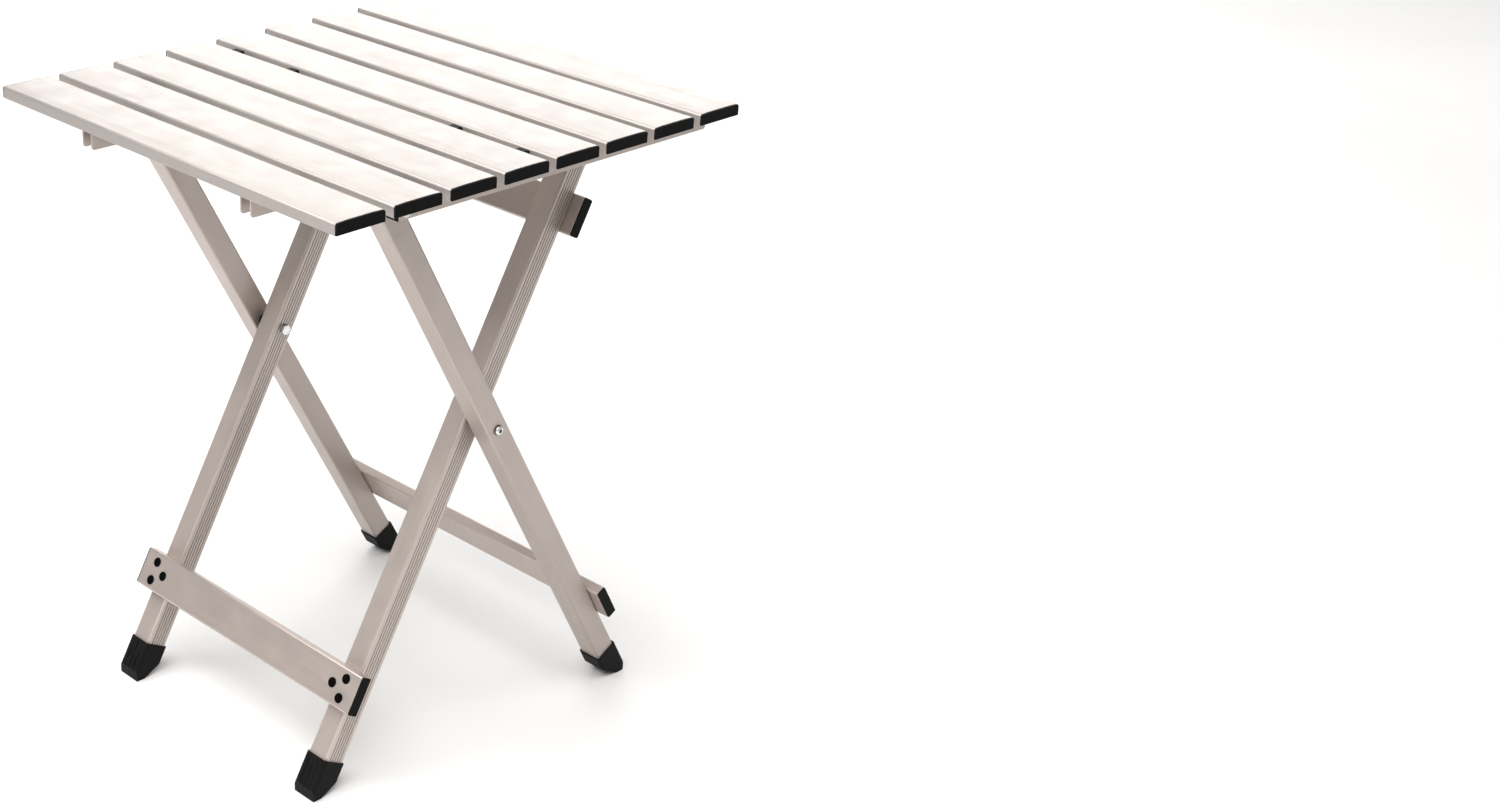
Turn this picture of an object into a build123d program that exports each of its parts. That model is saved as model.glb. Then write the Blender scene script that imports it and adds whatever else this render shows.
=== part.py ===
"""Folding side table with a slatted aluminium top on crossed legs.

Frame: +Z up, X along the slats, Y from the front edge to the rear edge. The origin is on the
floor under the centre of the top. Millimetres.

The inner legs rise from the front feet to the rear, the outer legs from the rear feet to the
front, and they cross on the middle pivots. The front leaf is slats 1 to 4 on the two inner
rails, which reach back to the tops of the inner legs. The rear leaf is slats 5 to 8 on the two
outer rails, which reach forward to the tops of the outer legs. Each leaf also lies on the
other leaf's rails, so as the legs close the leaves stay level and slide apart.
"""
from build123d import *
import math
import os

# ---- top ----
SLATS = 8                   # four on each leaf
SLAT_WIDTH = 55.0
SLAT_GAP = 10.0
SLAT_HEIGHT = 12.0
SLAT_LENGTH = 489.0         # over the end caps
SLAT_WALL = 1.5
SLAT_CROWN = 0.5            # the edges lie this much below the flat middle
SLAT_FLAT = 27.0            # width of the flat middle
SLAT_TOP_RADIUS = 2.5
SLAT_BOTTOM_RADIUS = 1.0
TABLE_HEIGHT = 636.0
CAP_FLANGE = 1.5            # visible thickness of the end caps of slats and crossbars
CAP_INSET = 0.4             # their outline lies this much inside the tube's
CAP_PLUG = 9.0              # length of a cap from its outer face

# ---- rails: channels that open downward ----
RAIL_WIDTH = 15.0
RAIL_BELOW_PIVOT = 7.0      # lower edges, under the top pivots
RAIL_WALL = 1.5
RAIL_CORNER = 3.0           # rounded lower corners of a rail's ends
RAIL_SETBACK = 8.0          # end under the outermost slat, from that slat's outer edge
RAIL_PAST_PIVOT = 8.5       # other end, past the top pivot
RAIL_CAP_PLATE = 1.2
RAIL_CAP_PLUG = 4.0
SLIDE_GAP = 0.3             # between a slat and the rails under it

# ---- legs ----
LEG_SIZE = 25.0
LEG_WALL = 1.5
LEG_CORNER = 2.0
LEG_GROOVES = 5             # fine grooves along the side faces of the inner legs
LEG_GROOVE_PITCH = 3.4
LEG_GROOVE_WIDTH = 1.0
LEG_GROOVE_DEPTH = 0.7
INNER_LEG_X = 143.5         # centre of an inner leg, from the middle
LEG_SPACE = 7.5             # between an inner and an outer leg
INNER_RAIL_SPACE = 6.5      # between an inner leg and its rail
OUTER_RAIL_SPACE = 8.0      # between an outer leg and its rail
CROSS_HEIGHT = 348.5        # middle pivot above the floor
PIVOT_REACH = 146.5         # top pivots, from the centre
LEG_TOP_SPACE = 0.5         # between a leg's round top and the slats
PLUG_LENGTH = 25.0          # leg top plug below the top pivot
PLUG_FLOOR = 0.2            # a leg top plug's round end lies this much under the tube's

# ---- feet ----
FOOT_WALL = 1.6
FOOT_CLEARANCE = 0.05       # all round the tube in its foot
FOOT_HEIGHT = 38.1          # top edge; this and the next three are along the leg from the floor
FOOT_SEAT_HEIGHT = 26.0     # end of the tube in the foot
FOOT_UP_HEIGHT = 5.6        # where the face on the leg's upper side ends
FOOT_DOWN_HEIGHT = 21.0     # where the face on the leg's lower side ends
FOOT_FLAT_START = 0.0       # flat on the floor, across the leg from its centreline
FOOT_FLAT_END = 8.0
FOOT_GROOVES = 3
FOOT_GROOVE_PITCH = 6.5
FOOT_GROOVE_WIDTH = 2.4
FOOT_GROOVE_DEPTH = 0.8
FOOT_RIM = 4.0              # smooth rim above the grooves

# ---- crossbars ----
BAR_HEIGHT = 40.0           # along the legs
BAR_DEPTH = 12.0
BAR_WALL = 1.5
BAR_CORNER = 2.0
BAR_OVERHANG = 14.5         # past the outer face of the legs, over the end caps
LOWER_BAR_HEIGHT = 111.1    # centre, along the legs from the floor
UPPER_BAR_DROP = 83.1       # centre, along the legs from the top pivots
BAR_RIVET_SPACE = 0.5       # from the set tail of a rivet to the leg's side wall
ACCESS_HOLE = 8.5           # hole in a crossbar's outer wall over each rivet
HOLE_PLUG_DIAMETER = 10.0   # black plugs that close these holes
HOLE_PLUG_HEIGHT = 0.8
HOLE_PLUG_LENGTH = 3.0

# ---- fasteners ----
PIVOT_DIAMETER = 6.0
RUNNING_CLEARANCE = 0.075   # radial, where a pivot turns in its bore
SEAT_CLEARANCE = 0.03       # radial, where a fastener is fixed
SIDE_PLAY = 0.2             # between faces that turn past each other
INSERT_CLEARANCE = 0.1      # all round a plastic insert in its tube
BUSH_DIAMETER = 14.0
BOLT_HEAD_DIAMETER = 9.2
BOLT_HEAD_HEIGHT = 3.0
BOLT_HEAD_ROUND = 2.1
BOLT_SOCKET = 4.0           # hexagon key, across flats
BOLT_SOCKET_DEPTH = 2.0
WASHER_DIAMETER = 10.6
WASHER_THICKNESS = 0.8
NUT_FLATS = 10.0
NUT_HEIGHT = 4.8
PIVOT_HEAD_DIAMETER = 11.0
PIVOT_HEAD_HEIGHT = 2.8
PIVOT_TAIL_DIAMETER = 10.0
PIVOT_TAIL_HEIGHT = 1.5
SLAT_RIVET = (4.0, 8.0, 1.5, 6.5, 1.8)      # shank, head, head height, tail, tail height
BAR_RIVET = (4.8, 7.5, 1.5, 6.0, 2.0)
SPACER_WIDTH = 12.0
SPACER_HEIGHT = 10.0
SPACER_PLAY = 0.2           # to the slat on each side
SPACER_SPIGOT = 5.0
SPACER_SPIGOT_LENGTH = 4.0
SPACER_CHAMFER = 0.8

# ---- worked out ----
SLAT_PITCH = SLAT_WIDTH + SLAT_GAP
SLAT_BASE = TABLE_HEIGHT - SLAT_HEIGHT
HALF_DEPTH = SLATS / 2 * SLAT_PITCH - SLAT_GAP / 2
HALF_LEG = LEG_SIZE / 2
PIVOT_HEIGHT = SLAT_BASE - HALF_LEG - LEG_TOP_SPACE
RAIL_TOP = SLAT_BASE - SLIDE_GAP
RAIL_WEB_BASE = RAIL_TOP - RAIL_WALL
RAIL_DEPTH = RAIL_TOP - PIVOT_HEIGHT + RAIL_BELOW_PIVOT
RAIL_FREE_END = HALF_DEPTH - RAIL_SETBACK
RAIL_PIVOT_END = PIVOT_REACH + RAIL_PAST_PIVOT
LEG_REACH = math.hypot(PIVOT_REACH, PIVOT_HEIGHT - CROSS_HEIGHT)
LEG_ANGLE = math.degrees(math.atan2(PIVOT_HEIGHT - CROSS_HEIGHT, PIVOT_REACH))
SIN = math.sin(math.radians(LEG_ANGLE))
COS = math.cos(math.radians(LEG_ANGLE))
FLOOR_REACH = CROSS_HEIGHT / SIN    # from the middle pivot to the floor, along a leg
FOOT_TOP = FLOOR_REACH - FOOT_HEIGHT
FOOT_SEAT = FLOOR_REACH - FOOT_SEAT_HEIGHT
FOOT_UP_SIDE = FLOOR_REACH - FOOT_UP_HEIGHT
FOOT_DOWN_SIDE = FLOOR_REACH - FOOT_DOWN_HEIGHT
LOWER_BAR = LOWER_BAR_HEIGHT - FLOOR_REACH
UPPER_BAR = LEG_REACH - UPPER_BAR_DROP
BAR_RIVET_SPREAD = BAR_HEIGHT / 2   # between the two rivets of a leg's outer column
OUTER_LEG_X = INNER_LEG_X + LEG_SIZE + LEG_SPACE
INNER_RAIL_X = INNER_LEG_X - HALF_LEG - INNER_RAIL_SPACE - RAIL_WIDTH / 2
OUTER_RAIL_X = OUTER_LEG_X + HALF_LEG + OUTER_RAIL_SPACE + RAIL_WIDTH / 2
BAR_CENTRE = HALF_LEG + BAR_DEPTH / 2
FOOT_SOCKET = LEG_SIZE + 2 * FOOT_CLEARANCE
FOOT_SIZE = FOOT_SOCKET + 2 * FOOT_WALL
SIDES = {"left": -1, "right": 1}

# The crossed legs are drawn upright, with Z along the leg from the middle pivot, and then
# leaned. "up" is the Y sign of the face that ends on top when the frame leans.
INNER_UP = -1
OUTER_UP = 1


def leaned(shape, up):
    """Lean a shape of a leg frame about the middle pivot, to its place in the table."""
    turn = -(90 - LEG_ANGLE) if up == INNER_UP else (90 - LEG_ANGLE)
    return Pos(0, 0, CROSS_HEIGHT) * (Rot(turn, 0, 0) * shape)


def rod_x(x0, x1, diameter, y=0.0, z=0.0):
    """A round bar along X from x0 to x1."""
    place = Pos((x0 + x1) / 2, y, z) * Rot(0, 90, 0)
    return place * Cylinder(diameter / 2, abs(x1 - x0))


def rod_y(y0, y1, diameter, x, z):
    """A round bar along Y from y0 to y1."""
    place = Pos(x, (y0 + y1) / 2, z) * Rot(90, 0, 0)
    return place * Cylinder(diameter / 2, abs(y1 - y0))


def rod_z(z0, z1, diameter, x, y):
    """A round bar along Z from z0 to z1."""
    return Pos(x, y, (z0 + z1) / 2) * Cylinder(diameter / 2, abs(z1 - z0))


def box_between(x0, x1, y0, y1, z0, z1):
    """A box given by its faces."""
    centre = Pos((x0 + x1) / 2, (y0 + y1) / 2, (z0 + z1) / 2)
    return centre * Box(abs(x1 - x0), abs(y1 - y0), abs(z1 - z0))


# ---- slats and what is on them ----
def slat_centre(number):
    return (number - (SLATS + 1) / 2) * SLAT_PITCH


def rail_x_of(number):
    """Rail that carries a slat: the inner pair on the front leaf, the outer pair on the rear."""
    return INNER_RAIL_X if number <= SLATS / 2 else OUTER_RAIL_X


def slat_outline(inset):
    """A slat's section in Y and Z with its underside at z = 0, drawn inward by the inset."""
    half = SLAT_WIDTH / 2 - inset
    flat = SLAT_FLAT / 2 - inset
    top = SLAT_HEIGHT - inset
    shoulder = top - SLAT_CROWN
    outline = Plane.YZ * make_face(Polyline(
        (-half, inset), (half, inset), (half, shoulder), (flat, top),
        (-flat, top), (-half, shoulder), close=True))
    corners = outline.vertices().sort_by(Axis.Z)
    shoulders = [v for v in corners if abs(v.Z - shoulder) < 1e-6]
    outline = fillet(shoulders, max(SLAT_TOP_RADIUS - inset, 0.5))
    feet = [v for v in outline.vertices() if abs(v.Z - inset) < 1e-6]
    return fillet(feet, max(SLAT_BOTTOM_RADIUS - inset, 0.3))


def slat(number):
    y = slat_centre(number)
    half = SLAT_LENGTH / 2 - CAP_FLANGE
    tube = extrude(slat_outline(0), half, both=True)
    tube -= extrude(slat_outline(SLAT_WALL), half + 1, both=True)
    tube = Pos(0, y, SLAT_BASE) * tube
    hole = SLAT_RIVET[0] + 2 * SEAT_CLEARANCE
    for side in SIDES.values():
        x = side * rail_x_of(number)
        tube -= rod_z(SLAT_BASE - 1, SLAT_BASE + SLAT_WALL + 1, hole, x, y)
    return [tube]


def slat_caps(number):
    """Two black caps: a flange over the tube's end and a plug inside it."""
    place = Pos(0, slat_centre(number), SLAT_BASE)
    start = SLAT_LENGTH / 2 - CAP_FLANGE
    flange = Pos(start, 0, 0) * extrude(slat_outline(CAP_INSET), CAP_FLANGE)
    inside = slat_outline(SLAT_WALL + INSERT_CLEARANCE)
    plug = Pos(start + CAP_FLANGE - CAP_PLUG, 0, 0) * extrude(inside, CAP_PLUG - CAP_FLANGE / 2)
    cap = place * (flange + plug)
    return [cap, mirror(cap, Plane.YZ)]


def slat_rivets(numbers):
    """A rivet at each slat and rail: head under the web, thin collar between web and slat."""
    shank, head, head_height, tail, tail_height = SLAT_RIVET
    rivets = []
    for number in numbers:
        y = slat_centre(number)
        for side in SIDES.values():
            x = side * rail_x_of(number)
            rivet = rod_z(RAIL_WEB_BASE - head_height, RAIL_WEB_BASE, head, x, y)
            rivet += rod_z(RAIL_WEB_BASE - head_height, SLAT_BASE + SLAT_WALL + tail_height, shank, x, y)
            rivet += rod_z(RAIL_TOP, SLAT_BASE, head, x, y)
            rivet += rod_z(SLAT_BASE + SLAT_WALL, SLAT_BASE + SLAT_WALL + tail_height, tail, x, y)
            rivets.append(rivet)
    return rivets


def rail(x, y_free, y_pivot, numbers):
    """A channel with holes for its slat rivets, its spacer and its top pivot."""
    y0, y1 = sorted((y_free, y_pivot))
    side = Pos(0, (y0 + y1) / 2, RAIL_TOP - RAIL_DEPTH / 2) * (Plane.YZ * Rectangle(y1 - y0, RAIL_DEPTH))
    lower = side.vertices().group_by(Axis.Z)[0]
    blank = Pos(x, 0, 0) * extrude(fillet(lower, RAIL_CORNER), RAIL_WIDTH / 2, both=True)
    inner = RAIL_WIDTH / 2 - RAIL_WALL
    blank -= box_between(x - inner, x + inner, y0 - 1, y1 + 1, RAIL_TOP - RAIL_DEPTH - 1, RAIL_WEB_BASE)
    for number in numbers:
        hole = SLAT_RIVET[0] + 2 * SEAT_CLEARANCE
        blank -= rod_z(RAIL_WEB_BASE - 1, RAIL_TOP + 1, hole, x, slat_centre(number))
    blank -= rod_z(RAIL_WEB_BASE - 1, RAIL_TOP + 1, SPACER_SPIGOT + 2 * SEAT_CLEARANCE, x, 0)
    pivot_y = math.copysign(PIVOT_REACH, y_pivot)
    pivot_hole = PIVOT_DIAMETER + 2 * SEAT_CLEARANCE
    blank -= rod_x(x - RAIL_WIDTH, x + RAIL_WIDTH, pivot_hole, pivot_y, PIVOT_HEIGHT)
    return blank


def rail_end_caps(rail_x, y_end):
    """Black cap on the pivot end of each rail of a pair: a plate and a short plug."""
    outward = math.copysign(1, y_end)
    inner = RAIL_WIDTH / 2 - RAIL_WALL - INSERT_CLEARANCE
    base = RAIL_TOP - RAIL_DEPTH
    caps = []
    for side in SIDES.values():
        x = side * rail_x
        cap = box_between(x - RAIL_WIDTH / 2, x + RAIL_WIDTH / 2, y_end,
                          y_end + outward * RAIL_CAP_PLATE, base, RAIL_TOP)
        cap += box_between(x - inner, x + inner, y_end - outward * RAIL_CAP_PLUG,
                           y_end, base + 1, RAIL_WEB_BASE - INSERT_CLEARANCE)
        caps.append(cap)
    return caps


def gap_spacers(rail_x):
    """Blocks that stand on a pair of rails in the middle gap and take the push between leaves."""
    depth = SLAT_GAP - 2 * SPACER_PLAY
    spacers = []
    for side in SIDES.values():
        x = side * rail_x
        block = box_between(x - SPACER_WIDTH / 2, x + SPACER_WIDTH / 2, -depth / 2, depth / 2,
                            RAIL_TOP, RAIL_TOP + SPACER_HEIGHT)
        block = chamfer(block.edges().group_by(Axis.Z)[-1], SPACER_CHAMFER)
        block += rod_z(RAIL_TOP - SPACER_SPIGOT_LENGTH, RAIL_TOP + 1, SPACER_SPIGOT, x, 0)
        spacers.append(block)
    return spacers


# ---- legs, upright before they are leaned ----
def top_round(radius, half_width):
    """What is cut away so that a leg's top is round about the top pivot."""
    cut = box_between(-half_width, half_width, -LEG_SIZE, LEG_SIZE, LEG_REACH, LEG_REACH + LEG_SIZE)
    return cut - rod_x(-half_width - 1, half_width + 1, 2 * radius, 0, LEG_REACH)


def bar_rivet_places(bar_s, side):
    """The three rivets that hold one end of a crossbar, as (across, along) on a leg."""
    column = side * (HALF_LEG - LEG_WALL - BAR_RIVET[3] / 2 - BAR_RIVET_SPACE)
    return [(column, bar_s + BAR_RIVET_SPREAD / 2), (column, bar_s - BAR_RIVET_SPREAD / 2),
            (-column, bar_s)]


def leg(leg_x, side, bars, grooved):
    """A square tube. bars lists each crossbar on it as (place along the leg, face sign)."""
    section = RectangleRounded(LEG_SIZE, LEG_SIZE, LEG_CORNER)
    section -= RectangleRounded(LEG_SIZE - 2 * LEG_WALL, LEG_SIZE - 2 * LEG_WALL, LEG_CORNER - LEG_WALL)
    if grooved:
        for index in range(LEG_GROOVES):
            y = (index - (LEG_GROOVES - 1) / 2) * LEG_GROOVE_PITCH
            for face in (-1, 1):
                section -= Pos(face * HALF_LEG, y) * Rectangle(2 * LEG_GROOVE_DEPTH, LEG_GROOVE_WIDTH)
    tube = Pos(0, 0, -FOOT_SEAT) * extrude(section, FOOT_SEAT + LEG_REACH + HALF_LEG)
    tube -= top_round(HALF_LEG - 0.1, HALF_LEG + 1)
    turning = PIVOT_DIAMETER + 2 * RUNNING_CLEARANCE
    fixed = PIVOT_DIAMETER + 2 * SEAT_CLEARANCE
    tube -= rod_x(-LEG_SIZE, LEG_SIZE, turning, 0, LEG_REACH)
    tube -= rod_x(-LEG_SIZE, LEG_SIZE, turning if grooved else fixed)
    hole = BAR_RIVET[0] + 2 * SEAT_CLEARANCE
    for bar_s, face in bars:
        for x, s in bar_rivet_places(bar_s, side):
            tube -= rod_y(face * (HALF_LEG + 1), face * (HALF_LEG - LEG_WALL - 1), hole, x, s)
    return Pos(side * leg_x, 0, 0) * tube


def leg_plug(leg_x, side):
    """Plastic plug in a leg's top, round about the pivot and bored for it."""
    size = LEG_SIZE - 2 * LEG_WALL - 2 * INSERT_CLEARANCE
    plug = Pos(0, 0, LEG_REACH - PLUG_LENGTH) * extrude(RectangleRounded(size, size, LEG_CORNER / 2),
                                                        PLUG_LENGTH + HALF_LEG)
    plug -= top_round(HALF_LEG - 0.1 - PLUG_FLOOR, HALF_LEG)
    plug -= rod_x(-LEG_SIZE, LEG_SIZE, PIVOT_DIAMETER + 2 * RUNNING_CLEARANCE, 0, LEG_REACH)
    return Pos(side * leg_x, 0, 0) * plug


def floor_along(across):
    """Distance along a leg, from the middle pivot, at which the floor lies below this offset."""
    return -(CROSS_HEIGHT + across * COS) / SIN


def foot(leg_x, side, up):
    """A black over-cap: ribbed upper face, wedge end, and a narrow flat on the floor."""
    half = FOOT_SIZE / 2
    outline = [(half, -FOOT_TOP), (-half, -FOOT_TOP), (-half, -FOOT_DOWN_SIDE),
               (FOOT_FLAT_START, floor_along(FOOT_FLAT_START)),
               (FOOT_FLAT_END, floor_along(FOOT_FLAT_END)), (half, -FOOT_UP_SIDE)]
    wedge = Plane.YZ * make_face(Polyline(*[(up * a, s) for a, s in outline], close=True))
    body = extrude(wedge, half, both=True)
    lowest = floor_along(half) - LEG_SIZE
    body &= Pos(0, 0, lowest) * extrude(RectangleRounded(FOOT_SIZE, FOOT_SIZE, LEG_CORNER + FOOT_WALL / 2),
                                        -lowest)
    body -= Pos(0, 0, -FOOT_SEAT) * extrude(RectangleRounded(FOOT_SOCKET, FOOT_SOCKET, LEG_CORNER),
                                            FOOT_SEAT)
    for index in range(FOOT_GROOVES):
        x = (index - (FOOT_GROOVES - 1) / 2) * FOOT_GROOVE_PITCH
        body -= box_between(x - FOOT_GROOVE_WIDTH / 2, x + FOOT_GROOVE_WIDTH / 2,
                            up * (half - FOOT_GROOVE_DEPTH), up * (half + 1),
                            lowest, -FOOT_TOP - FOOT_RIM)
    return Pos(side * leg_x, 0, 0) * body


# ---- crossbars, upright before they are leaned ----
def bar_outline(inset):
    width = BAR_DEPTH - 2 * inset
    height = BAR_HEIGHT - 2 * inset
    return Plane.YZ * RectangleRounded(width, height, max(BAR_CORNER - inset, 0.5))


def bar_half_length(leg_x):
    return leg_x + HALF_LEG + BAR_OVERHANG


def crossbar(leg_x, bar_s, face):
    """A flat tube across a pair of legs, on the face of the given sign."""
    half = bar_half_length(leg_x) - CAP_FLANGE
    tube = extrude(bar_outline(0), half, both=True) - extrude(bar_outline(BAR_WALL), half + 1, both=True)
    tube = Pos(0, face * BAR_CENTRE, bar_s) * tube
    hole = BAR_RIVET[0] + 2 * SEAT_CLEARANCE
    for side in SIDES.values():
        for x, s in bar_rivet_places(bar_s, side):
            x += side * leg_x
            tube -= rod_y(face * (HALF_LEG - 1), face * BAR_CENTRE, hole, x, s)
            tube -= rod_y(face * BAR_CENTRE, face * (HALF_LEG + BAR_DEPTH + 1), ACCESS_HOLE, x, s)
    return tube


def bar_caps(leg_x, bar_s, face):
    start = bar_half_length(leg_x) - CAP_FLANGE
    cap = Pos(start, 0, 0) * extrude(bar_outline(CAP_INSET), CAP_FLANGE)
    inside = bar_outline(BAR_WALL + INSERT_CLEARANCE)
    cap += Pos(start + CAP_FLANGE - CAP_PLUG, 0, 0) * extrude(inside, CAP_PLUG - CAP_FLANGE / 2)
    cap = Pos(0, face * BAR_CENTRE, bar_s) * cap
    return [cap, mirror(cap, Plane.YZ)]


def bar_rivets(leg_x, bar_s, face):
    """Blind rivets through a crossbar's inner wall and the leg's wall."""
    shank, head, head_height, tail, tail_height = BAR_RIVET
    seat = HALF_LEG + BAR_WALL
    inside = HALF_LEG - LEG_WALL
    rivets = []
    for side in SIDES.values():
        for x, s in bar_rivet_places(bar_s, side):
            x += side * leg_x
            rivet = rod_y(face * seat, face * (seat + head_height), head, x, s)
            rivet += rod_y(face * (inside - tail_height), face * (seat + head_height), shank, x, s)
            rivet += rod_y(face * inside, face * (inside - tail_height), tail, x, s)
            rivets.append(rivet)
    return rivets


def hole_plugs(leg_x, bar_s, face):
    """Black plugs in a crossbar's access holes: a thin round cover and a spigot."""
    outside = HALF_LEG + BAR_DEPTH
    plugs = []
    for side in SIDES.values():
        for x, s in bar_rivet_places(bar_s, side):
            x += side * leg_x
            plug = rod_y(face * outside, face * (outside + HOLE_PLUG_HEIGHT), HOLE_PLUG_DIAMETER, x, s)
            rim = plug.edges().sort_by(Axis.Y)[-1 if face > 0 else 0]
            plug = fillet(rim, 0.6 * HOLE_PLUG_HEIGHT)
            plug += rod_y(face * (outside - HOLE_PLUG_LENGTH), face * (outside + HOLE_PLUG_HEIGHT / 2),
                          ACCESS_HOLE - 2 * SEAT_CLEARANCE, x, s)
            plugs.append(plug)
    return plugs


# ---- pivots ----
def middle_bolt(side):
    """Bolt through both legs: its head, with a key socket, on a washer on the outer leg."""
    seat = OUTER_LEG_X + HALF_LEG + WASHER_THICKNESS
    end = INNER_LEG_X - HALF_LEG - SIDE_PLAY - NUT_HEIGHT
    head = rod_x(side * seat, side * (seat + BOLT_HEAD_HEIGHT), BOLT_HEAD_DIAMETER, 0, CROSS_HEIGHT)
    rim = head.edges().sort_by(Axis.X)[-1 if side > 0 else 0]
    head = fillet(rim, BOLT_HEAD_ROUND)
    socket = Plane.YZ * RegularPolygon(BOLT_SOCKET / math.sqrt(3), 6)
    top = Pos(side * (seat + BOLT_HEAD_HEIGHT), 0, CROSS_HEIGHT)
    head -= top * extrude(socket, BOLT_SOCKET_DEPTH, both=True)
    return head + rod_x(side * end, side * seat, PIVOT_DIAMETER, 0, CROSS_HEIGHT)


def ring_x(x0, x1, outer, bore, y, z):
    return rod_x(x0, x1, outer, y, z) - rod_x(x0 - 1, x1 + 1, bore, y, z)


def middle_washer(side):
    face = OUTER_LEG_X + HALF_LEG
    x0, x1 = sorted((side * face, side * (face + WASHER_THICKNESS)))
    return ring_x(x0, x1, WASHER_DIAMETER, PIVOT_DIAMETER + 2 * SEAT_CLEARANCE, 0, CROSS_HEIGHT)


def middle_bush(side):
    inner = INNER_LEG_X + HALF_LEG + SIDE_PLAY
    x0, x1 = sorted((side * inner, side * (OUTER_LEG_X - HALF_LEG)))
    return ring_x(x0, x1, BUSH_DIAMETER, PIVOT_DIAMETER + 2 * SEAT_CLEARANCE, 0, CROSS_HEIGHT)


def middle_nut(side):
    face = INNER_LEG_X - HALF_LEG - SIDE_PLAY
    x0, x1 = sorted((side * face, side * (face - NUT_HEIGHT)))
    hexagon = RegularPolygon(NUT_FLATS / math.sqrt(3), 6)
    nut = Pos(x0, 0, CROSS_HEIGHT) * extrude(Plane.YZ * hexagon, x1 - x0)
    return nut - rod_x(x0 - 1, x1 + 1, PIVOT_DIAMETER + 2 * SEAT_CLEARANCE, 0, CROSS_HEIGHT)


def top_pivot(leg_x, rail_x, side, y):
    """Pivot rivet: its tail on a rail's far side, its head past the leg that turns on it."""
    away = math.copysign(1, rail_x - leg_x)
    head_seat = leg_x - away * (HALF_LEG + SIDE_PLAY)
    tail_seat = rail_x + away * RAIL_WIDTH / 2
    pivot = rod_x(side * head_seat, side * (head_seat - away * PIVOT_HEAD_HEIGHT),
                  PIVOT_HEAD_DIAMETER, y, PIVOT_HEIGHT)
    rim = pivot.edges().sort_by(Axis.X)[-1 if side * away < 0 else 0]
    pivot = fillet(rim, PIVOT_HEAD_HEIGHT / 2)
    pivot += rod_x(side * (head_seat - away), side * (tail_seat + away), PIVOT_DIAMETER, y, PIVOT_HEIGHT)
    pivot += rod_x(side * tail_seat, side * (tail_seat + away * PIVOT_TAIL_HEIGHT),
                   PIVOT_TAIL_DIAMETER, y, PIVOT_HEIGHT)
    return pivot


def top_bush(leg_x, rail_x, side, y):
    """Plastic bush between a leg and its rail, seated on the rail."""
    away = math.copysign(1, rail_x - leg_x)
    near_leg = leg_x + away * (HALF_LEG + SIDE_PLAY)
    near_rail = rail_x - away * RAIL_WIDTH / 2
    x0, x1 = sorted((side * near_leg, side * near_rail))
    return ring_x(x0, x1, BUSH_DIAMETER, PIVOT_DIAMETER + 2 * SEAT_CLEARANCE, y, PIVOT_HEIGHT)


# ---- the table ----
def top_nodes():
    nodes = {}
    front = list(range(1, SLATS // 2 + 1))
    rear = list(range(SLATS // 2 + 1, SLATS + 1))
    for number in front + rear:
        nodes[f"slat_{number}"] = slat(number)
        nodes[f"slat_{number}_caps"] = slat_caps(number)
    for name, side in SIDES.items():
        nodes[f"inner_rail_{name}"] = [rail(side * INNER_RAIL_X, -RAIL_FREE_END, RAIL_PIVOT_END, front)]
        nodes[f"outer_rail_{name}"] = [rail(side * OUTER_RAIL_X, RAIL_FREE_END, -RAIL_PIVOT_END, rear)]
    nodes["inner_rail_end_caps"] = rail_end_caps(INNER_RAIL_X, RAIL_PIVOT_END)
    nodes["outer_rail_end_caps"] = rail_end_caps(OUTER_RAIL_X, -RAIL_PIVOT_END)
    nodes["front_slat_rivets"] = slat_rivets(front)
    nodes["rear_slat_rivets"] = slat_rivets(rear)
    nodes["front_leaf_spacers"] = gap_spacers(INNER_RAIL_X)
    nodes["rear_leaf_spacers"] = gap_spacers(OUTER_RAIL_X)
    return nodes


def leg_nodes(prefix, leg_x, up, bars, grooved):
    """Legs, feet and plugs of one leg frame, and its crossbars by name."""
    nodes = {}
    for name, side in SIDES.items():
        places = [(bar_s, face) for bar_s, face in bars.values()]
        nodes[f"{prefix}_leg_{name}"] = [leg(leg_x, side, places, grooved)]
        nodes[f"{prefix}_foot_{name}"] = [foot(leg_x, side, up)]
    nodes[f"{prefix}_leg_plugs"] = [leg_plug(leg_x, side) for side in SIDES.values()]
    for name, (bar_s, face) in bars.items():
        nodes[name] = [crossbar(leg_x, bar_s, face)]
        nodes[f"{name}_caps"] = bar_caps(leg_x, bar_s, face)
        nodes[f"{name}_rivets"] = bar_rivets(leg_x, bar_s, face)
        nodes[f"{name}_hole_plugs"] = hole_plugs(leg_x, bar_s, face)
    return {name: [leaned(solid, up) for solid in solids] for name, solids in nodes.items()}


def pivot_nodes():
    sides = SIDES.values()
    return {
        "middle_pivot_bolts": [middle_bolt(side) for side in sides],
        "middle_pivot_washers": [middle_washer(side) for side in sides],
        "middle_pivot_bushes": [middle_bush(side) for side in sides],
        "middle_pivot_nuts": [middle_nut(side) for side in sides],
        "inner_top_pivots": [top_pivot(INNER_LEG_X, INNER_RAIL_X, side, PIVOT_REACH) for side in sides],
        "inner_top_bushes": [top_bush(INNER_LEG_X, INNER_RAIL_X, side, PIVOT_REACH) for side in sides],
        "outer_top_pivots": [top_pivot(OUTER_LEG_X, OUTER_RAIL_X, side, -PIVOT_REACH) for side in sides],
        "outer_top_bushes": [top_bush(OUTER_LEG_X, OUTER_RAIL_X, side, -PIVOT_REACH) for side in sides],
    }


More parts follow.
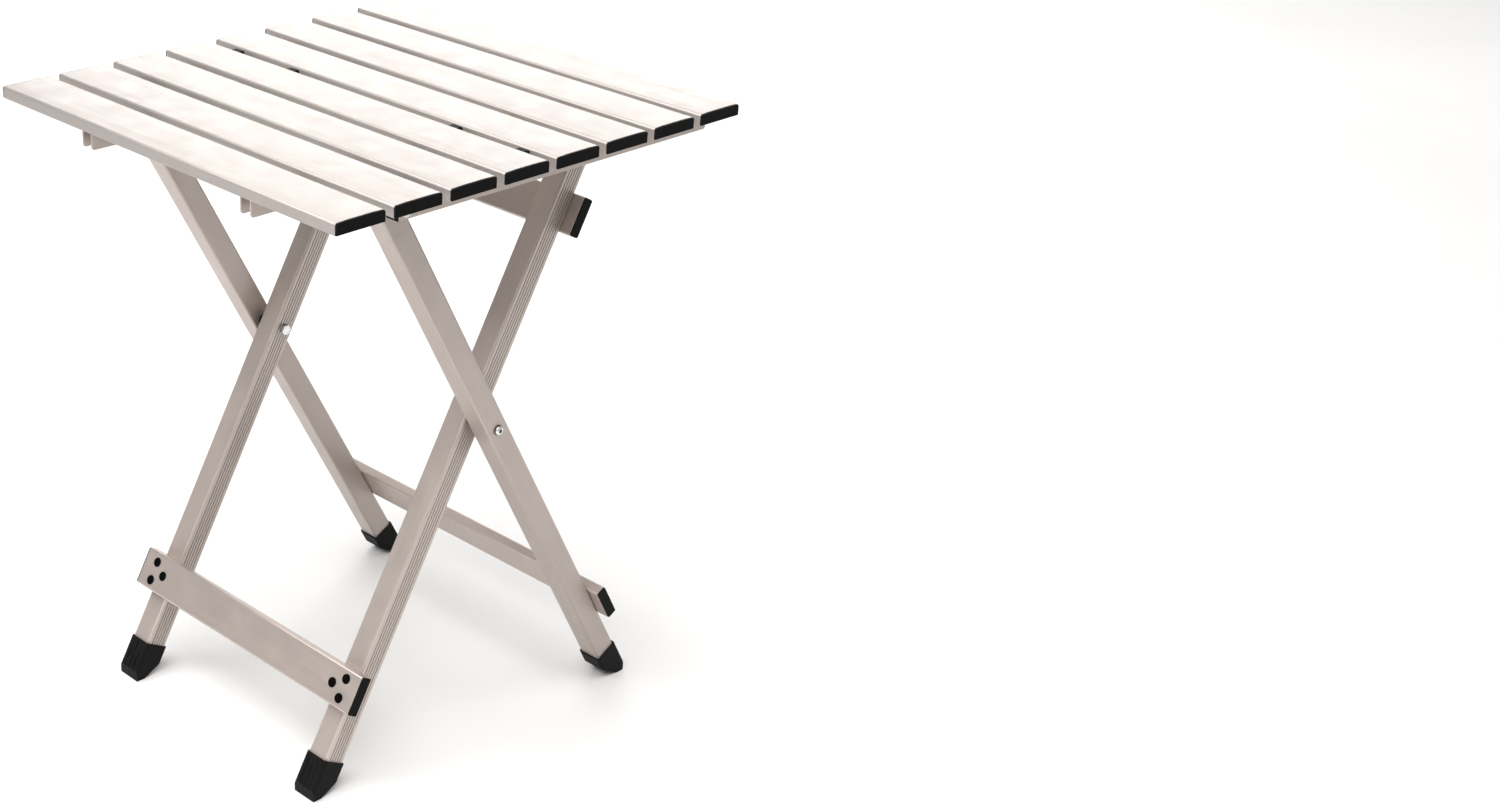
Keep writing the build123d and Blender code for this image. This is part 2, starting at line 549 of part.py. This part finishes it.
def main():
    nodes = top_nodes()
    inner_bars = {"front_lower_crossbar": (LOWER_BAR, INNER_UP), "upper_crossbar": (UPPER_BAR, -INNER_UP)}
    outer_bars = {"rear_lower_crossbar": (LOWER_BAR, OUTER_UP)}
    nodes |= leg_nodes("inner", INNER_LEG_X, INNER_UP, inner_bars, True)
    nodes |= leg_nodes("outer", OUTER_LEG_X, OUTER_UP, outer_bars, False)
    nodes |= pivot_nodes()
    os.makedirs("parts", exist_ok=True)
    for name, shapes in nodes.items():
        solids = [solid for shape in shapes for solid in shape.solids()]
        export_step(Compound(children=solids), f"parts/{name}.step")
    print(f"legs lean at {LEG_ANGLE:.3f} degrees, {LEG_REACH:.2f} mm from middle to top pivot")
    print(f"{len(nodes)} nodes")


main()
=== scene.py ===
"""Folding side table: finishes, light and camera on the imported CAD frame.

Metres, +Z up, X along the slats, Y from the front edge to the rear edge.
"""

import math

import bpy
from mathutils import Matrix, Vector


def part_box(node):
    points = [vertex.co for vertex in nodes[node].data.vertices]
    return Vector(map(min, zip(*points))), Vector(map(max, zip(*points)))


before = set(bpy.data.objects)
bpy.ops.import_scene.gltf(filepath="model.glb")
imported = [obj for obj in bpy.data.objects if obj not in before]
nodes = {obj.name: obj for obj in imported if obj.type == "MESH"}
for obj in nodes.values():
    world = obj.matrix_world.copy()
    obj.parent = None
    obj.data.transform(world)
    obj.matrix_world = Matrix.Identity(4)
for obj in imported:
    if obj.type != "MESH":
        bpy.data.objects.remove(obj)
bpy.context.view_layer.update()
MM = 0.001


# ---------------------------------------------------------------- places read from the frame
pivot_low, pivot_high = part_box("middle_pivot_bushes")
CROSS = (pivot_low.z + pivot_high.z) / 2                       # height where the legs cross
inner_top = [(a + b) / 2 for a, b in zip(*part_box("inner_top_bushes"))]
LEAN = math.atan2(inner_top[2] - CROSS, inner_top[1])          # of the legs, from level


# ---------------------------------------------------------------- node helpers
class Graph:
    """A short way to write a material's nodes."""

    def __init__(self, name):
        self.material = bpy.data.materials.new(name)
        self.material.use_nodes = True
        self.tree = self.material.node_tree
        self.shader = self.tree.nodes["Principled BSDF"]

    def add(self, kind, values=(), **settings):
        """A new node. Each value is a number for that input, or an output linked to it."""
        node = self.tree.nodes.new(kind)
        for key, value in settings.items():
            setattr(node, key, value)
        for key, value in dict(values).items():
            self.feed(value, node.inputs[key])
        return node

    def feed(self, value, socket):
        if isinstance(value, bpy.types.NodeSocket):
            self.tree.links.new(value, socket)
        else:
            socket.default_value = value

    def coords(self, turn=0.0, scale=(1, 1, 1)):
        """The piece's own coordinates, turned about X and scaled: pattern cells per metre."""
        vector = self.add("ShaderNodeTexCoord").outputs["Object"]
        if turn:
            vector = self.add("ShaderNodeVectorRotate", {"Vector": vector, "Angle": turn},
                              rotation_type="X_AXIS").outputs["Vector"]
        return self.vector("MULTIPLY", vector, scale).outputs[0]

    def vector(self, operation, *values):
        return self.add("ShaderNodeVectorMath", dict(enumerate(values)), operation=operation)

    def noise(self, vector, detail=2.0, rough=0.5, distortion=0.0):
        values = {"Vector": vector, "Scale": 1.0, "Detail": detail, "Roughness": rough,
                  "Distortion": distortion}
        return self.add("ShaderNodeTexNoise", values).outputs["Fac"]

    def even_noise(self, cells, *settings):
        """Noise with the same number of cells per metre in every direction."""
        return self.noise(self.coords(0.0, (cells, cells, cells)), *settings)

    def span(self, value, low, high, to_low=0.0, to_high=1.0):
        """Maps low..high to to_low..to_high, and clamps outside it."""
        values = {"Value": value, "From Min": low, "From Max": high,
                  "To Min": to_low, "To Max": to_high}
        return self.add("ShaderNodeMapRange", values).outputs["Result"]

    def mix(self, factor, a, b):
        node = self.tree.nodes.new("ShaderNodeMix")
        node.data_type = "RGBA"
        for index, value in ((0, factor), (6, a), (7, b)):
            self.feed(value, node.inputs[index])
        return node.outputs[2]

    def math(self, operation, a, b):
        return self.add("ShaderNodeMath", {0: a, 1: b}, operation=operation).outputs[0]

    def edge_wear(self, radius):
        """1 on sharp edges and 0 on flats: how far a rounded normal leans off the true one."""
        true = self.add("ShaderNodeNewGeometry").outputs["Normal"]
        soft = self.add("ShaderNodeBevel", {"Radius": radius}, samples=4).outputs["Normal"]
        lean = self.vector("DOT_PRODUCT", true, soft).outputs["Value"]
        return self.span(lean, 0.995, 0.90)

    def recess_shade_mask(self, distance):
        """A mask for painted shade: 1 deep inside the piece's own grooves, sockets and seams, and
        0 on open faces.
        """
        open_sky = self.add("ShaderNodeAmbientOcclusion", {"Distance": distance}, samples=6,
                            only_local=True).outputs["AO"]
        return self.span(open_sky, 0.97, 0.45)

    def bump(self, height, distance, strength):
        values = {"Height": height, "Distance": distance, "Strength": strength}
        return self.add("ShaderNodeBump", values).outputs["Normal"]

    def link(self, value, socket):
        self.tree.links.new(value, self.shader.inputs[socket])

    def set(self, **values):
        for key, value in values.items():
            self.shader.inputs[key.replace("_", " ")].default_value = value


def shade(colour, factor):
    """A lighter or darker colour, with its alpha."""
    return tuple(min(c * factor, 1.0) for c in colour[:3]) + (1.0,)


# ---------------------------------------------------------------- materials
BARE_METAL = (0.86, 0.85, 0.84)      # where the anodising is rubbed through
DUST = (0.06, 0.058, 0.057)
RUBBED_PLASTIC = (0.05, 0.049, 0.048)


def aluminium(name, colour, along, metallic, roughness, turn=0.0, groove_shade=False):
    """Satin anodised extrusion: fine die lines along it, a fine etch, soft blotches, worn edges,
    and with groove_shade painted shade in its grooves.

    along is "x" or "y" for pieces that lie level. With turn, a "y" piece leans about X.
    """
    g = Graph(name)
    along_axis = {"x": 0, "y": 1}[along]

    def drawn(long_cells, cross_cells):
        """Cells per metre, far fewer along the extrusion than across it."""
        scale = [cross_cells] * 3
        scale[along_axis] = long_cells
        return g.coords(turn, scale)

    lines = g.noise(drawn(9, 1400), 3.0, 0.6)
    broad = g.noise(drawn(3, 260), 2.0, 0.5)
    etch = g.even_noise(2600, 2.0, 0.6)
    blotch = g.even_noise(7, 3.0, 0.55, 0.6)
    handled = g.even_noise(38, 4.0, 0.6, 0.4)

    base = g.mix(g.span(blotch, 0.35, 0.65), shade(colour, 0.965), shade(colour, 1.03))
    base = g.mix(g.span(lines, 0.35, 0.7, 0.0, 0.55), base, shade(colour, 0.93))
    base = g.mix(g.span(broad, 0.40, 0.75, 0.0, 0.35), base, shade(colour, 1.06))
    worn = g.math("MULTIPLY", g.edge_wear(0.7 * MM), g.span(handled, 0.42, 0.70, 0.15, 0.7))
    base = g.mix(worn, base, shade(BARE_METAL, 1.0))
    if groove_shade:
        # Painted shade: the grooves, found by ambient occlusion, are darkened towards near black.
        base = g.mix(g.math("MULTIPLY", g.recess_shade_mask(1.3 * MM), 0.75), base, shade(colour, 0.16))
    g.link(base, "Base Color")

    rough = g.math("ADD", g.span(lines, 0.3, 0.7, roughness - 0.06, roughness + 0.06),
                   g.span(handled, 0.35, 0.75, -0.03, 0.07))
    g.link(g.math("SUBTRACT", rough, g.math("MULTIPLY", worn, 0.10)), "Roughness")
    height = g.math("ADD", g.math("MULTIPLY", lines, 0.7), g.math("MULTIPLY", etch, 0.35))
    g.link(g.bump(height, 0.05 * MM, 0.55), "Normal")
    g.set(Metallic=metallic, Specular_IOR_Level=0.5)
    return g.material


def moulded(name, colour, roughness, grain=1500.0, depth=0.06, specular=0.06):
    """Black moulded plastic: a fine spark-eroded grain, softer flow marks and rubbed edges.

    grain is its cells per metre and depth its height in mm.
    """
    g = Graph(name)
    pebble = g.add("ShaderNodeTexVoronoi",
                   {"Vector": g.coords(0.0, (grain, grain, grain)), "Scale": 1.0},
                   feature="SMOOTH_F1").outputs["Distance"]
    fine = g.even_noise(grain * 1.9, 2.0, 0.5)
    flow = g.even_noise(60, 3.0, 0.55, 1.2)
    dust = g.even_noise(420, 4.0, 0.65)

    base = g.mix(g.span(flow, 0.35, 0.7), shade(colour, 0.85), shade(colour, 1.25))
    base = g.mix(g.span(dust, 0.60, 0.80, 0.0, 0.06), base, shade(DUST, 1.0))
    worn = g.math("MULTIPLY", g.edge_wear(0.9 * MM), g.span(flow, 0.35, 0.65, 0.25, 0.8))
    base = g.mix(g.math("MULTIPLY", worn, 0.5), base, shade(RUBBED_PLASTIC, 1.0))
    g.link(base, "Base Color")

    g.link(g.math("ADD", g.span(pebble, 0.0, 0.8, roughness - 0.05, roughness + 0.08),
                  g.span(flow, 0.3, 0.7, -0.03, 0.05)), "Roughness")
    height = g.math("ADD", pebble, g.math("MULTIPLY", fine, 0.4))
    g.link(g.bump(height, depth * MM, 0.6), "Normal")
    g.set(Specular_IOR_Level=specular)
    return g.material


def plated(name, colour, roughness, centre):
    """Zinc-plated steel: turned rings about the axis at centre (y, z), tiny pits, a faint haze,
    and painted shade in its sockets and seams.
    """
    g = Graph(name)
    y, z = centre
    own = g.add("ShaderNodeTexCoord").outputs["Object"]
    flat = g.vector("ADD", own, (0.0, -y, -z)).outputs[0]
    radial = g.vector("MULTIPLY", flat, (0.0, 1.0, 1.0)).outputs[0]
    length = g.vector("LENGTH", radial).outputs["Value"]
    turned = g.add("ShaderNodeCombineXYZ", {"X": g.math("MULTIPLY", length, 5200.0)}).outputs[0]
    rings = g.noise(turned, 2.0, 0.6)
    pits = g.even_noise(3000, 2.0, 0.6)
    haze = g.even_noise(500, 3.0, 0.6)

    base = g.mix(g.span(haze, 0.35, 0.7), shade(colour, 0.88), shade(colour, 1.05))
    # Painted shade: sockets and the seams between head, washer and nut darkened towards near
    # black.
    base = g.mix(g.math("MULTIPLY", g.recess_shade_mask(1.6 * MM), 0.9), base, shade(colour, 0.06))
    g.link(base, "Base Color")
    g.link(g.math("ADD", g.span(rings, 0.3, 0.7, roughness - 0.06, roughness + 0.08),
                  g.span(haze, 0.35, 0.7, -0.03, 0.07)), "Roughness")
    g.link(g.bump(g.math("ADD", rings, g.math("MULTIPLY", pits, 0.3)), 0.03 * MM, 0.4), "Normal")
    g.set(Metallic=1.0)
    return g.material


# ---------------------------------------------------------------- materials by piece
SLAT = (0.388, 0.354, 0.336)
FRAME = (0.520, 0.456, 0.420)
BLACK = (0.0042, 0.0041, 0.0041)
MIDDLE_AXIS = (0.0, CROSS)
TOP_AXIS = (inner_top[1], inner_top[2])

slat_metal = aluminium("slat_aluminium_x", SLAT, "x", 0.45, 0.44)
bar_metal = aluminium("bar_aluminium_x", FRAME, "x", 0.60, 0.40)
rail_metal = aluminium("rail_aluminium_y", FRAME, "y", 0.60, 0.40)
# Painted light and shade: the inner legs take a lighter copy and the outer legs a darker copy of
# the frame tone, and both paint shade into their grooves.
inner_leg_lit_metal = aluminium("inner_leg_aluminium_painted_light", shade(FRAME, 1.05), "y", 0.60, 0.40,
                        turn=-LEAN, groove_shade=True)
outer_leg_shaded_metal = aluminium("outer_leg_aluminium_painted_shade", shade(FRAME, 0.90), "y", 0.60, 0.40,
                        turn=LEAN, groove_shade=True)
cap_plastic = moulded("cap_plastic", BLACK, 0.46)
foot_plastic = moulded("foot_plastic", shade(BLACK, 1.4), 0.52, 1100.0, 0.08, 0.10)
block_plastic = moulded("block_plastic", shade(BLACK, 0.9), 0.50)
rivet_metal = plated("rivet_steel", (0.62, 0.61, 0.60), 0.34, MIDDLE_AXIS)
bolt_metal = plated("bolt_steel", (0.80, 0.81, 0.82), 0.20, MIDDLE_AXIS)
washer_metal = plated("washer_steel", (0.10, 0.10, 0.10), 0.36, MIDDLE_AXIS)
top_pivot_metal = plated("top_pivot_steel", (0.74, 0.74, 0.74), 0.26, TOP_AXIS)
dark_rivet = moulded("dark_rivet_finish", (0.008, 0.008, 0.008), 0.40, 1800.0, 0.03)
plug_plastic = moulded("plug_plastic", (0.0018, 0.0018, 0.0018), 0.50, 1800.0, 0.03, 0.03)

# start and end of a node's name, material, bevel width in mm, bevel segments: the first match
FINISH = [
    ("slat_", "_caps", cap_plastic, 0.55, 3),
    ("slat_", "", slat_metal, 0.12, 2),
    ("inner_rail_end_caps", "", block_plastic, 0.25, 2),
    ("outer_rail_end_caps", "", block_plastic, 0.25, 2),
    ("inner_rail", "", rail_metal, 0.25, 2),
    ("outer_rail", "", rail_metal, 0.25, 2),
    ("front_slat_rivets", "", rivet_metal, 0.30, 2),
    ("rear_slat_rivets", "", rivet_metal, 0.30, 2),
    ("front_leaf_spacers", "", block_plastic, 0.25, 2),
    ("rear_leaf_spacers", "", block_plastic, 0.25, 2),
    ("inner_leg_plugs", "", block_plastic, 0.30, 2),
    ("outer_leg_plugs", "", block_plastic, 0.30, 2),
    ("inner_leg", "", inner_leg_lit_metal, 0.12, 2),
    ("outer_leg", "", outer_leg_shaded_metal, 0.15, 2),
    ("inner_foot", "", foot_plastic, 0.70, 3),
    ("outer_foot", "", foot_plastic, 0.70, 3),
    ("inner_top_bushes", "", block_plastic, 0.30, 2),
    ("outer_top_bushes", "", block_plastic, 0.30, 2),
    ("middle_pivot_bushes", "", block_plastic, 0.30, 2),
    ("inner_top_pivots", "", top_pivot_metal, 0.15, 2),
    ("outer_top_pivots", "", top_pivot_metal, 0.15, 2),
    ("middle_pivot_washers", "", washer_metal, 0.15, 2),
    ("middle_pivot", "", bolt_metal, 0.15, 2),
    ("", "crossbar", bar_metal, 0.22, 2),
    ("", "crossbar_caps", cap_plastic, 0.60, 3),
    ("", "crossbar_rivets", dark_rivet, 0.30, 2),
    ("", "hole_plugs", plug_plastic, 0.25, 2),
]
WELD_DISTANCE = 2e-6
SHARP_ANGLE = math.radians(38)       # edges that turn more than this are rounded

for name, obj in nodes.items():
    material, width, segments = next(finish for start, end, *finish in FINISH
                                     if name.startswith(start) and name.endswith(end))
    for slot in obj.material_slots:
        slot.material = material
    weld = obj.modifiers.new("joined", "WELD")
    weld.merge_threshold = WELD_DISTANCE
    bevel = obj.modifiers.new("edges", "BEVEL")
    bevel.width = width * MM
    bevel.segments = segments
    bevel.limit_method = "ANGLE"
    bevel.angle_limit = SHARP_ANGLE
    bevel.use_clamp_overlap = True
    bevel.harden_normals = True

# ---------------------------------------------------------------- floor and surroundings
FLOOR_SIZE = 30
PAPER = (0.82, 0.82, 0.82, 1)
PALE_PAPER = (0.85, 0.85, 0.85, 1)

bpy.ops.mesh.primitive_grid_add(x_subdivisions=8, y_subdivisions=8, size=FLOOR_SIZE,
                                location=(0, 0, 0))
floor = bpy.context.object
floor.name = "studio_floor"
g = Graph("studio_floor_paper")
patches = g.even_noise(2.2, 2.0, 0.5)
g.link(g.mix(g.span(patches, 0.3, 0.7), PAPER, PALE_PAPER), "Base Color")
g.set(Roughness=0.75, Specular_IOR_Level=0.2)
floor.data.materials.append(g.material)

world = bpy.data.worlds.new("studio_white")
bpy.context.scene.world = world
world.use_nodes = True
background = world.node_tree.nodes["Background"]
background.inputs["Color"].default_value = (1.0, 0.995, 0.985, 1.0)
background.inputs["Strength"].default_value = 0.145

# ---------------------------------------------------------------- light
LAMP_WHITE = (1.0, 0.99, 0.975)


def panel(name, place, aim, width, height, watts):
    """A rectangular lamp at place that shines towards aim."""
    data = bpy.data.lights.new(name, "AREA")
    data.shape = "RECTANGLE"
    data.size, data.size_y = width, height
    data.energy = watts
    data.color = LAMP_WHITE
    obj = bpy.data.objects.new(name, data)
    bpy.context.scene.collection.objects.link(obj)
    obj.location = place
    obj.rotation_euler = (Vector(aim) - Vector(place)).to_track_quat("-Z", "Y").to_euler()


panel("overhead_bank", (0.1, -0.9, 2.6), (0, 0, 0.3), 3.6, 3.4, 170)
panel("back_bank", (-2.4, 2.6, 1.7), (0, 0, 0.6), 2.8, 1.8, 62)
panel("far_floor_bank", (0.9, 4.8, 2.6), (0.9, 4.8, 0), 4.5, 3.2, 72)
panel("camera_side_bank", (0.4, -2.7, 0.55), (0, 0, 0.15), 2.8, 0.9, 6)

# ---------------------------------------------------------------- camera
EYE = Vector((1.53006, -1.37416, 1.27542))
AZIMUTH, TILT, ROLL = math.radians(137.2145), math.radians(-23.8499), math.radians(1.0474)

ahead = Vector((math.cos(TILT) * math.cos(AZIMUTH), math.cos(TILT) * math.sin(AZIMUTH),
                math.sin(TILT)))
level = ahead.cross(Vector((0, 0, 1))).normalized()
upright = level.cross(ahead)
right = level * math.cos(ROLL) + upright * math.sin(ROLL)
up = upright * math.cos(ROLL) - level * math.sin(ROLL)

lens = bpy.data.cameras.new("view")
lens.sensor_width = 36.0
lens.lens = 53.583
lens.shift_x = 0.23513
lens.shift_y = -0.03470
lens.clip_end = 60.0
camera = bpy.data.objects.new("view", lens)
bpy.context.scene.collection.objects.link(camera)
camera.matrix_world = Matrix.Translation(EYE) @ Matrix((right, up, -ahead)).transposed().to_4x4()
bpy.context.scene.camera = camera
bpy.context.scene.view_settings.view_transform = "Standard"

bpy.context.view_layer.update()
